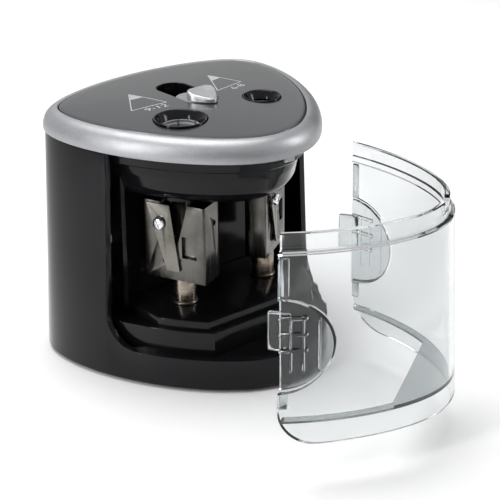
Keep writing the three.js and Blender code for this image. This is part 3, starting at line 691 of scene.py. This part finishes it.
def add_slot_lining():
    """A glossy black lining round the slot, inside the cut edge of the plate."""
    skin = LINING_SKIN
    outer = stadium(SLOT_HALF, SLOT_FRONT, SLOT_BACK)
    inner = stadium(SLOT_HALF - skin, SLOT_FRONT + skin, SLOT_BACK - skin)
    count = len(outer)
    top = PLATE_EDGE + 0.9
    bottom = PLATE_UNDER - 1.5
    points = []
    for outline, z in ((outer, bottom), (outer, top), (inner, top), (inner, bottom)):
        points += [(x, y, z) for x, y in outline]
    faces = []
    for i in range(4):
        for j in range(count):
            k = (j + 1) % count
            low, high = i * count, ((i + 1) % 4) * count
            faces.append((low + j, low + k, high + k, high + j))
    lining = fixed_normals(mesh_object("slot_lining", points, faces))
    seat(lining, "slot_lining", "housing", GLOSS_BLACK)


def on_plate(points, lift):
    return [(x, y, dome_height(x, y) + lift) for x, y in points]


def add_print_strip(name, start, end, half=0.22, count=14):
    """A pale printed line that follows the dome of the plate."""
    along = Vector(end) - Vector(start)
    side = Vector((-along.y, along.x)).normalized() * half
    points = []
    for lift in (0.005, 0.05):
        for t in np.linspace(0, 1, count):
            spot = Vector(start) + along * t
            points += on_plate([tuple(spot + side), tuple(spot - side)], lift)
    faces = []
    upper = 2 * count
    for i in range(count - 1):
        a = 2 * i
        faces.append((a, a + 2, a + 3, a + 1))
        faces.append((upper + a, upper + a + 1, upper + a + 3, upper + a + 2))
        faces.append((a, upper + a, upper + a + 2, a + 2))
        faces.append((a + 1, a + 3, upper + a + 3, upper + a + 1))
    for a in (0, 2 * count - 2):
        faces.append((a, a + 1, upper + a + 1, upper + a))
    strip = fixed_normals(mesh_object(name, points, faces))
    seat(strip, name, "housing", PRINT)


def add_print_patch(name, corners):
    """A filled pale triangle on the plate, the lead of a printed pencil point."""
    rows = 8
    first, second, third = (Vector(corner) for corner in corners)
    points = []
    spots = []
    for i in range(rows + 1):
        for j in range(i + 1):
            spot = first + (second - first) * ((i - j) / rows) + (third - first) * (j / rows)
            spots.append(tuple(spot))
    for lift in (0.005, 0.045):
        points += on_plate(spots, lift)

    def at(i, j):
        return i * (i + 1) // 2 + j

    faces = []
    for i in range(rows):
        for j in range(i + 1):
            faces.append((at(i, j), at(i + 1, j), at(i + 1, j + 1)))
            if j < i:
                faces.append((at(i, j), at(i + 1, j + 1), at(i, j + 1)))
    upper = len(spots)
    faces += [tuple(upper + corner for corner in reversed(face)) for face in list(faces)]
    border = [at(i, 0) for i in range(rows)] + [at(rows, j) for j in range(rows)]
    border += [at(i, i) for i in range(rows, 0, -1)]
    for a, b in zip(border, border[1:] + border[:1]):
        faces.append((a, b, upper + b, upper + a))
    patch = fixed_normals(mesh_object(name, points, faces))
    seat(patch, name, "housing", PRINT)


def add_size_number(name, text, start, end, height):
    """A plain size range along a line on the plate."""
    curve = bpy.data.curves.new(name, "FONT")
    curve.body = text
    curve.size = height * 1.4
    curve.extrude = 0.02
    curve.align_x = "CENTER"
    writer = bpy.data.objects.new(name, curve)
    bpy.context.scene.collection.objects.link(writer)
    bpy.context.view_layer.update()
    graph = bpy.context.evaluated_depsgraph_get()
    mesh = bpy.data.meshes.new_from_object(writer.evaluated_get(graph))
    bpy.data.objects.remove(writer)
    along = Vector(end) - Vector(start)
    turn = Matrix.Rotation(math.atan2(along.y, along.x), 4, "Z")
    centre = (Vector(start) + Vector(end)) / 2
    stretch = Matrix.Scale(1.3, 4, (1, 0, 0))
    mesh.transform(Matrix.Translation((centre.x, centre.y, 0)) @ turn @ stretch)
    for vertex in mesh.vertices:
        vertex.co.z += dome_height(vertex.co.x, vertex.co.y) + 0.03
    obj = bpy.data.objects.new(name, mesh)
    bpy.context.scene.collection.objects.link(obj)
    seat(obj, name, "housing", PRINT)


def add_pictogram(prefix, corners, text):
    """A line drawing of a pencil point, lead first, with its size along its front edge."""
    lead, front, back = corners
    add_print_strip(f"{prefix}_mark_back", lead, back)
    add_print_strip(f"{prefix}_mark_left", lead, front)
    add_print_strip(f"{prefix}_mark_right", front, back)
    near = [Vector(corner).lerp(Vector(lead), 0.62) for corner in (front, back)]
    add_print_patch(f"{prefix}_mark_lead", [lead, *(tuple(corner) for corner in near)])
    along = (Vector(back) - Vector(front)).normalized()
    outward = Vector((along.y, -along.x)) * 4.2
    shift = outward + along * 1.5
    add_size_number(f"{prefix}_size", text, Vector(front) + shift, Vector(back) + shift, 3)


# ---------- deck ----------


def add_deck():
    """The glossy black floor of the chamber: tray, ledge and raised plateau."""
    tray_edge = skin_offset(TRAY_TOP) - WALL - 0.5
    tray = overlap(
        swept("tray", [(tray_edge, z) for z in (TRAY_BOTTOM, TRAY_TOP)], False),
        block(-BEYOND, BEYOND, -BEYOND, CHAMBER_BACK, 0, 60),
    )
    ledge_round = [(LEDGE_OFFSET, TRAY_BOTTOM), (LEDGE_OFFSET, LEDGE_TOP)]
    ledge_corners = [(-BEYOND, LEDGE_FRONT, 1), (BEYOND, LEDGE_FRONT, 1)]
    ledge_corners += [(BEYOND, CHAMBER_BACK, 1), (-BEYOND, CHAMBER_BACK, 1)]
    ledge = overlap(
        swept("ledge", ledge_round, False),
        prism(rounded(ledge_corners), 0, 60),
    )
    ledge = bevelled(ledge, 0.5, 50, 3)
    half = PLATEAU_HALF
    corners = [(-half, PLATEAU_FRONT, 9), (half, PLATEAU_FRONT, 9)]
    corners += [(half, CHAMBER_BACK, 0.5), (-half, CHAMBER_BACK, 0.5)]
    outline = rounded(corners, 10)
    plateau = overlap(
        swept("plateau", [(1, TRAY_BOTTOM), (1, DECK_TOP)], False),
        prism(outline, TRAY_BOTTOM, DECK_TOP),
    )
    plateau = bevelled(plateau, 0.6, 50, 3)
    deck = join(tray, ledge, plateau)
    for x in (-HOLE_X, HOLE_X):
        deck = cut(deck, rod(SPINDLE_RADIUS + 0.8, 0, 60, x, HOLE_Y))
    motor_middle = (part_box("motor")[0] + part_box("motor")[1]) / 2 / MM
    deck = cut(deck, rod(MOTOR_ROOM, 0, 60, 0, motor_middle.y - SHIFT_Y))
    seat(deck, "chamber_deck", "housing", DECK_BLACK, replaces=["gearbox_cover"], smooth=30)


# ---------- cutters ----------

CUTTERS = (
    dict(name="large", side=-1, bore=LARGE_BORE, width=26.4, depth=15, facing=-66.6),
    dict(name="small", side=1, bore=SMALL_BORE, width=24, depth=11, facing=31),
)


def cutter_place(cutter):
    return (
        HOUSED
        @ Matrix.Translation((cutter["side"] * HOLE_X, HOLE_Y, 0))
        @ Matrix.Rotation(math.radians(cutter["facing"]), 4, "Z")
    )


def upright(obj, x=0.0, y=0.0, z=0.0):
    """Stands a shape drawn flat, so that its thickness runs along -Y."""
    return moved(obj, Matrix.Translation((x, y, z)) @ Matrix.Rotation(math.pi / 2, 4, "X"))


def screw_x(half):
    return -half * 0.42


def seat_cutter_piece(obj, cutter, piece, material, node):
    """Puts a piece drawn about its cutter's own axis in place, to turn with that cutter."""
    name = cutter["name"]
    place = cutter_place(cutter)
    seat(obj, f"{name}_{piece}", f"{name}_cutter", material, place, [f"{name}_{node}"], 30)


def add_cutter_housing(cutter):
    top = BOWL_BOTTOM - 0.6
    half = cutter["width"] / 2
    front = -cutter["depth"] / 2
    bore = cutter["bore"]
    back = -front - 1.5
    corners = [(-half, front, 0.9), (half, front, 0.9), (half, back, 3), (-half, back, 3)]
    body = prism(rounded(corners, 7), BLOCK_BOTTOM, top)
    cone_bottom = BLOCK_BOTTOM + 7
    cone = [(0, cone_bottom), (0.9, cone_bottom), (bore, top + 0.1), (bore, top + 1), (0, top + 1)]
    mouth = [(-1, top - 19), (1, top - 19), (bore * 0.95, top + 1), (-bore * 0.95, top + 1)]
    notch_x = half * 0.25
    notch_low = BLOCK_BOTTOM + 9.6
    notch_high = BLOCK_BOTTOM + 18.5
    notch = block(notch_x, notch_x + half * 0.48, front - 1, front + 2.4, notch_low, notch_high)
    pin_x = -half * 0.28
    side_hole = Matrix.Translation((half, 0.5, BLADE_SCREW_Z)) @ Matrix.Rotation(math.pi / 2, 4, "Y")
    body = cut(
        body,
        turned("cone", cone),
        upright(prism(mouth, 0, 12), 0, 0.5),
        notch,
        rod(SPINDLE_RADIUS + GAP, 0, BLOCK_BOTTOM + 3.6),
        upright(rod(1.4, -6, 1), screw_x(half), front, BLADE_SCREW_Z),
        upright(rod(1.5, -1.6, 2), pin_x, front, BLOCK_BOTTOM + 7.5),
        moved(rod(1.1, -1, 1), side_hole),
    )
    body = bevelled(body, 0.3, 45, 2)
    seat_cutter_piece(body, cutter, "steel_block", DARK_STEEL, "cutter_housing")


def add_blade(cutter):
    half = cutter["width"] / 2
    front = -cutter["depth"] / 2 - GAP
    low = BLOCK_BOTTOM + 4
    high = BOWL_BOTTOM - 1.2
    strip = [(-half * 0.22, low), (half * 0.2, low), (-half * 0.09, high), (-half * 0.84, high)]
    plate = upright(prism(strip, 0, BLADE_SKIN), 0, front)
    hole = upright(rod(1.5, -3, 3), screw_x(half), front, BLADE_SCREW_Z)
    plate = bevelled(cut(plate, hole), 0.22, 50, 2)
    seat_cutter_piece(plate, cutter, "ground_blade", BLADE_STEEL, "cutter_blade")


def add_screw(cutter):
    half = cutter["width"] / 2
    front = -cutter["depth"] / 2 - 2 * GAP - BLADE_SKIN
    profile = [(0, 0), (1.1, 0), (1.1, 3.2), (2.2, 3.2), (2.5, 3.4)]
    profile += [(2.45, 3.9), (2.1, 4.4), (1.4, 4.65), (0, 4.7)]
    head = turned("screw", profile, steps=40)
    for i in (0, 1):
        slot = block(-1.5, 1.5, -0.3, 0.3, 4.0, 6)
        head = cut(head, moved(slot, Matrix.Rotation(i * math.pi / 2 + 0.4, 4, "Z")))
    head = moved(head, Matrix.Rotation(math.pi / 2, 4, "X") @ Matrix.Translation((0, 0, -3.2)))
    head = moved(head, Matrix.Translation((screw_x(half), front, BLADE_SCREW_Z)))
    seat_cutter_piece(head, cutter, "cross_screw", SCREW_STEEL, "blade_screw")


def add_bush(cutter):
    inner = SPINDLE_RADIUS + GAP
    profile = [(inner, DECK_TOP + GAP), (5, DECK_TOP + GAP), (5, DECK_TOP + 0.9), (4.85, DECK_TOP + 1.1)]
    profile += [(BUSH_RADIUS, DECK_TOP + 1.3), (BUSH_RADIUS, BLOCK_BOTTOM - 0.8)]
    profile += [(BUSH_RADIUS - 0.2, BLOCK_BOTTOM - GAP)]
    profile += [(inner, BLOCK_BOTTOM - GAP)]
    ring = turned("bush", profile, steps=72)
    seat_cutter_piece(ring, cutter, "turned_bush", BUSH_STEEL, "spindle_bush")


# ---------- cover ----------


def across_grips():
    """Turns an upright rod to run from side to side through the middle of both grips."""
    middle = Matrix.Translation((0, ARM_END - GAP, GRIP_Z))
    return middle @ Matrix.Rotation(math.pi / 2, 4, "Y")


def add_cover():
    """The clear walls and rim of the cover, and its floor as a piece of its own."""
    low = SILL + GAP
    ledge = skin_offset(COVER_LEDGE)
    rim_inner = COVER_RIM_OUTER - COVER_WALL
    profile = [(skin_offset(low) - COVER_WALL, low), (skin_offset(low) - 0.3, low)]
    profile += [(skin_offset(low + 0.5), low + 0.4)]
    profile += [(skin_offset(z), z) for z in (30, 50, 70)]
    profile += [(ledge, COVER_LEDGE - 0.5), (ledge - 0.5, COVER_LEDGE)]
    profile += [(COVER_RIM_OUTER, COVER_LEDGE), (COVER_RIM_OUTER, COVER_RIM_TOP - 0.4)]
    profile += [(COVER_RIM_OUTER - 0.4, COVER_RIM_TOP), (rim_inner + 0.4, COVER_RIM_TOP)]
    profile += [(rim_inner, COVER_RIM_TOP - 0.4), (rim_inner, COVER_LEDGE - COVER_WALL)]
    profile += [(ledge - COVER_WALL, COVER_LEDGE - COVER_WALL)]
    walls = swept("cover", [(offset - FACET_SLACK, z) for offset, z in profile])
    floor_offset = skin_offset(COVER_FLOOR_TOP) - 1
    floor_levels = (COVER_FLOOR_TOP - COVER_FLOOR_SKIN, COVER_FLOOR_TOP)
    floor = swept("floor", [(floor_offset, z) for z in floor_levels], False)
    room = 0.8
    ledge_room = overlap(
        swept("ledge_room", [(LEDGE_OFFSET + room, 0), (LEDGE_OFFSET + room, 60)], False),
        block(-BEYOND, BEYOND, LEDGE_FRONT - room, CHAMBER_BACK, 0, 60),
    )
    floor = cut(floor, ledge_room)
    grip_room = moved(rod(GRIP_RADIUS + 0.4, -BEYOND, BEYOND, steps=96), across_grips())
    notch_half = TAB_HALF + 1.6
    notch = block(-notch_half, notch_half, -BEYOND, 0, RIM_BOTTOM - TAB_DROP - GAP, 120)
    cover = cut(overlap(walls, front_opening(GAP)), grip_room, notch)
    seat(cover, "clear_cover", "cover", CLEAR, REMOVED, ["shavings_cover"], 30)
    inside = swept("inside", [(skin_offset(z) - COVER_WALL - 0.02, z) for z in (10, 40)], False)
    floor = overlap(floor, front_opening(GAP), inside)
    # The floor takes the darkest copy of the clear styrene, a painted shade.
    seat(floor, "clear_floor", "cover", SHADED_CLEAR_FLOOR, REMOVED, smooth=30)


def add_cover_rails():
    """The thickened uprights inside both arm ends, above and below the finger grips."""
    end = ARM_END - GAP
    low_reach = (SILL + CORNER_RADIUS, GRIP_Z - GRIP_RADIUS - 1)
    high_reach = (GRIP_Z + GRIP_RADIUS + 1, COVER_LEDGE - 3)
    for name, (z0, z1) in (("low", low_reach), ("high", high_reach)):
        foot, head = (skin_offset(z) - COVER_WALL - 0.05 for z in (z0, z1))
        for side, x0, x1 in (("left", -BEYOND, 0), ("right", 0, BEYOND)):
            ring = swept("rail", [(foot - 1.5, z0), (foot, z0), (head, z1), (head - 1.5, z1)])
            rail = bevelled(overlap(ring, block(x0, x1, end - 2.6, end, z0 - 1, z1 + 1)), 0.3)
            # The rails take the darker copy of the clear styrene, painted shade for dark edges.
            seat(rail, f"{side}_{name}_rail", "cover", SHADED_CLEAR_EDGE, REMOVED)


def add_latch(side):
    """The half-round finger grip of one arm, with its ribs and the tongue behind it."""
    name = "left" if side < 0 else "right"
    outer = skin_offset(GRIP_Z) - 2.4
    end = ARM_END - GAP
    x0, x1 = (0, BEYOND) if side > 0 else (-BEYOND, 0)

    def kept(thickness):
        disc = moved(rod(GRIP_RADIUS, -BEYOND, BEYOND, steps=96), across_grips())
        return overlap(thickness, disc, block(x0, x1, -BEYOND, end, 0, 90))

    def band(label, inner, outer):
        return kept(swept(label, [(inner, 20), (outer, 20), (outer, 80), (inner, 80)]))

    strip = band("strip", outer - 1.6, outer)
    ribs = band("ribs", outer - 0.4, outer + 1.1)
    rows = [TONGUE_Z + z for z in (-6, 0, 6)]
    bars = [block(-BEYOND, BEYOND, end - 9, end, z - 0.5, z + 0.5) for z in rows]
    columns = [end - y for y in (3.4, 7.4, 12.4)]
    bars += [block(-BEYOND, BEYOND, y - 0.6, y, GRIP_Z - 10, GRIP_Z + 10) for y in columns]
    ribs = overlap(ribs, join(*bars))
    inner = half_width(ARM_END, 1)
    bottom = TONGUE_Z - TONGUE_HEIGHT / 2
    span = (inner, inner + 2.6) if side > 0 else (-inner - 2.6, -inner)
    tongue = block(*span, end - 3, ARM_END + TONGUE_REACH, bottom, bottom + TONGUE_HEIGHT)
    latch = join(strip, ribs, bevelled(tongue, 0.4))
    # The grip takes the darker copy of the clear styrene, painted shade for its dark edges.
    seat(
        latch, f"{name}_grip", f"{name}_latch", SHADED_CLEAR_EDGE,
        REMOVED, [f"{name}_latch"], 30,
    )


def add_catch():
    high = COVER_LEDGE + 4
    profile = [(0, COVER_LEDGE + GAP), (1, COVER_LEDGE + GAP), (1, high - 0.3), (0.7, high), (0, high)]
    pip = turned("catch", profile, 0, CATCH_Y, 32)
    # The pip takes the darker copy of the clear styrene, painted shade.
    seat(pip, "catch_pip", "cover_catch", SHADED_CLEAR_EDGE, REMOVED, ["cover_catch"])


# ---------- CAD nodes that keep their shape ----------

KEPT_NODES = {
    "shutter": SILVER,
    "chamber_wall": DECK_BLACK,
    "large_spindle": SCREW_STEEL,
    "small_spindle": SCREW_STEEL,
    "large_cutter_gear": GEAR_NYLON,
    "small_cutter_gear": GEAR_NYLON,
    "reduction_gear": GEAR_NYLON,
    "reduction_pin": SCREW_STEEL,
    "motor": SCREW_STEEL,
    "motor_pinion": BRASS,
    "base_plate": DECK_BLACK,
    "battery_door": DECK_BLACK,
    "interlock_switch": DECK_BLACK,
    "interlock_plunger": GUIDE_GREY,
    **{f"base_screw_{i}": SCREW_STEEL for i in range(1, 5)},
    **{f"battery_cell_{i}": CELL_WRAP for i in range(1, 5)},
    **{f"{side}_{end}_contact": SCREW_STEEL for side in ("left", "right") for end in ("top", "bottom")},
    "front_foot": RUBBER,
    "left_rear_foot": RUBBER,
    "right_rear_foot": RUBBER,
}


def dress_kept_nodes():
    for name, material in KEPT_NODES.items():
        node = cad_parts[name]
        node.data.materials.clear()
        node.data.materials.append(material)


# ---------- studio ----------


def add_floor():
    half = 6.0
    corners = [(-half, -half, 0), (half, -half, 0), (half, half, 0), (-half, half, 0)]
    floor = mesh_object("floor", corners, [(0, 1, 2, 3)])
    material, tree, principled = shader("studio_floor", (0.9, 0.9, 0.9), 0.55)
    mottle = blend_colors(tree, noise(tree, 8), (0.88, 0.88, 0.88), (0.91, 0.91, 0.91))
    tree.links.new(mottle, principled.inputs["Base Color"])
    floor.data.materials.append(material)
    floor.location.z = -0.0002


def add_softbox(name, place, target, width, height, power):
    light = bpy.data.lights.new(name, "AREA")
    light.shape = "RECTANGLE"
    light.size = width
    light.size_y = height
    light.energy = power
    obj = bpy.data.objects.new(name, light)
    bpy.context.scene.collection.objects.link(obj)
    obj.location = place
    obj.rotation_euler = (Vector(target) - Vector(place)).to_track_quat("-Z", "Y").to_euler()


def add_card(name, place, width, height):
    """A black card that shows only in reflections and through clear plastic, for dark edges."""
    x, y, z = place
    across = Vector((-y, x, 0)).normalized() * width / 2
    corners = []
    for side, rise in ((-1, -1), (1, -1), (1, 1), (-1, 1)):
        level = z + rise * height / 2
        corners.append((x + side * across.x, y + side * across.y, level))
    card = mesh_object(name, corners, [(0, 1, 2, 3)])
    material, tree, principled = shader(name, (0.01, 0.01, 0.01), 0.9)
    felt = blend_colors(tree, noise(tree, 40), (0.008, 0.008, 0.008), (0.014, 0.014, 0.014))
    tree.links.new(felt, principled.inputs["Base Color"])
    card.data.materials.append(material)
    card.visible_camera = False
    card.visible_shadow = False
    card.visible_diffuse = False


def add_lights():
    world = bpy.data.worlds.new("studio")
    world.use_nodes = True
    background = world.node_tree.nodes["Background"]
    background.inputs["Color"].default_value = (1, 1, 1, 1)
    background.inputs["Strength"].default_value = 0.55
    bpy.context.scene.world = world
    middle = (0, 0, 0.05)
    add_softbox("overhead", (-0.05, 0.25, 0.95), middle, 0.7, 0.7, 7)
    add_softbox("left_strip", (-0.95, 0.05, 0.45), middle, 0.16, 0.8, 5)
    add_softbox("right_fill", (0.85, -0.55, 0.55), middle, 0.25, 0.6, 4)
    add_card("card_front", (-0.75, -1.25, 0.45), 1.3, 0.9)
    add_card("card_left", (-1.5, 0.6, 0.45), 0.9, 0.9)
    add_card("card_right", (1.4, 0.55, 0.45), 1.0, 0.9)


def add_camera():
    """The photograph's viewpoint, from the front left and 23.6 degrees above the desk."""
    data = bpy.data.cameras.new("camera")
    data.sensor_width = SENSOR_WIDTH
    data.lens = SENSOR_WIDTH * LENS_TO_SENSOR
    camera = bpy.data.objects.new("camera", data)
    bpy.context.scene.collection.objects.link(camera)
    place = (Vector(CAMERA_PLACE) + Vector((0, SHIFT_Y, 0))) * MM
    forward = Vector(CAMERA_FORWARD).normalized()
    across = forward.cross(Vector((0, 0, 1))).normalized()
    above = across.cross(forward)
    right = math.cos(CAMERA_ROLL) * across + math.sin(CAMERA_ROLL) * above
    up = right.cross(forward)
    turn = Matrix((right, up, -forward)).transposed()
    camera.matrix_world = Matrix.Translation(place) @ turn.to_4x4()
    bpy.context.scene.camera = camera


# ---------- build ----------

add_camera()
add_lights()
add_floor()
add_shell()
add_rim()
add_plate()
add_bezel("large_ring", -HOLE_X, LARGE_MOUTH, "large_bezel")
add_bezel("small_ring", HOLE_X, SMALL_MOUTH, "small_bezel")
add_guide()
add_frame()
add_knob()
add_slot_lining()
add_pictogram("large", [(-17.8, 18.6), (-28.2, 2.5), (-12.7, 0.8)], "9-12")
add_pictogram("small", [(20.2, 16.9), (10.6, -1.2), (25.2, 2.2)], "6-8")
add_deck()
for spec in CUTTERS:
    add_cutter_housing(spec)
    add_blade(spec)
    add_screw(spec)
    add_bush(spec)
add_cover()
add_cover_rails()
add_latch(-1)
add_latch(1)
add_catch()
dress_kept_nodes()
bpy.context.scene.view_settings.view_transform = "Standard"
